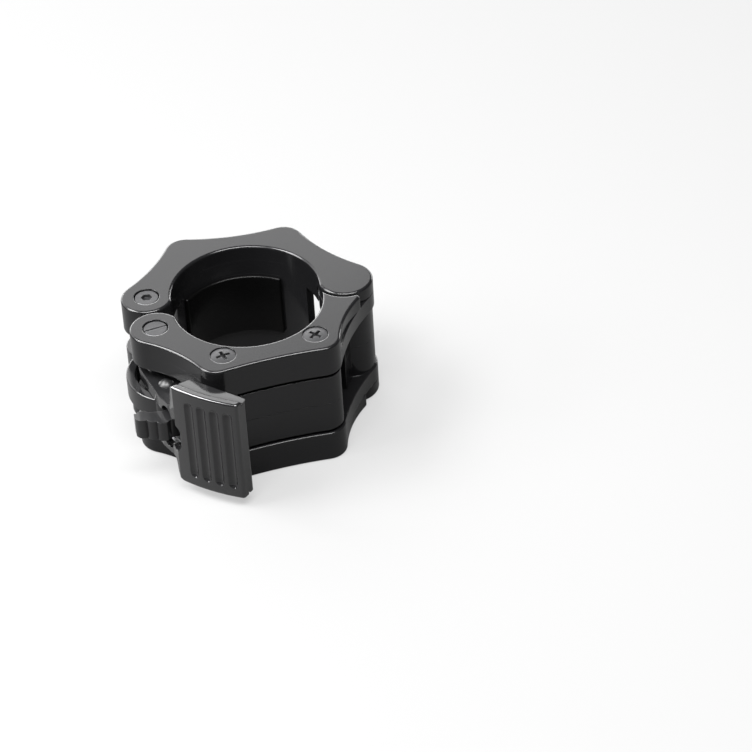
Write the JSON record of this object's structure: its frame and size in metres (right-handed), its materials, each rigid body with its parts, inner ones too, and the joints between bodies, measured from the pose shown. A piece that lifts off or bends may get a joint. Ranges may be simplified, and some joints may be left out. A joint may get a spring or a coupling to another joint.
{
  "type": "barbell collar",
  "caption": "Hinged clamp collar for a round bar sleeve, with grip pads between end plates, a bowed link, an over-centre thumb lever and a release tab.",
  "frame": {"origin": "on the axis of the gripped bar, half way along the collar", "axes": "+Z along the bar, +X from the lever side to the hinge side, +Y from the small jaw to the main jaw"},
  "size_m": [0.0906, 0.0995, 0.05],
  "materials": {
    "jaw_plastic": "satin black, moulded",
    "lever_plastic": "fine-grained black, moulded",
    "link_plastic": "glossy black, moulded",
    "pad_rubber": "matt black",
    "black_steel": "black oxide",
    "plain_steel": "plain"
  },
  "bodies": {
    "main_jaw": {"main_frame": "jaw_plastic", "main_grip_pad": "pad_rubber", "hinge_pin": "plain_steel", "link_pin_post": "black_steel", "link_pin_screw": "black_steel"},
    "small_jaw": {"small_jaw_upper_half": "jaw_plastic", "small_jaw_lower_half": "jaw_plastic", "jaw_screws": "black_steel", "small_grip_pad": "pad_rubber", "lever_pin_post": "black_steel", "lever_pin_screw": "black_steel"},
    "lever": {"lever": "lever_plastic", "toggle_pin": "black_steel", "catch_pin": "plain_steel", "catch_spring": "plain_steel"},
    "link": {"link": "link_plastic"},
    "catch": {"catch": "lever_plastic"}
  },
  "joints": [
    {"name": "jaw_swing", "type": "hinge", "parent": "main_jaw", "child": "small_jaw", "pos_m": [0.036, 0.004, 0], "axis": [0, 0, 1], "range_deg": [0, 4.1]},
    {"name": "lever_swing", "type": "hinge", "parent": "small_jaw", "child": "lever", "pos_m": [-0.03191, -0.01901, 0], "axis": [0, 0, -1], "range_deg": [0, 76]},
    {"name": "link_swing", "type": "hinge", "parent": "lever", "child": "link", "pos_m": [-0.02927, -0.03092, 0], "axis": [0, 0, 1], "range_deg": [0, 49.7]},
    {"name": "catch_press", "type": "hinge", "parent": "lever", "child": "catch", "pos_m": [-0.0256, -0.041, 0], "axis": [0, 0, -1], "range_deg": [0, 6], "stiffness_Nm_per_rad": 0.06}
  ],
  "couplings": [
    {"joint": "jaw_swing", "follows": "lever_swing", "ratio": 0.0532},
    {"joint": "link_swing", "follows": "lever_swing", "ratio": 0.652}
  ]
}
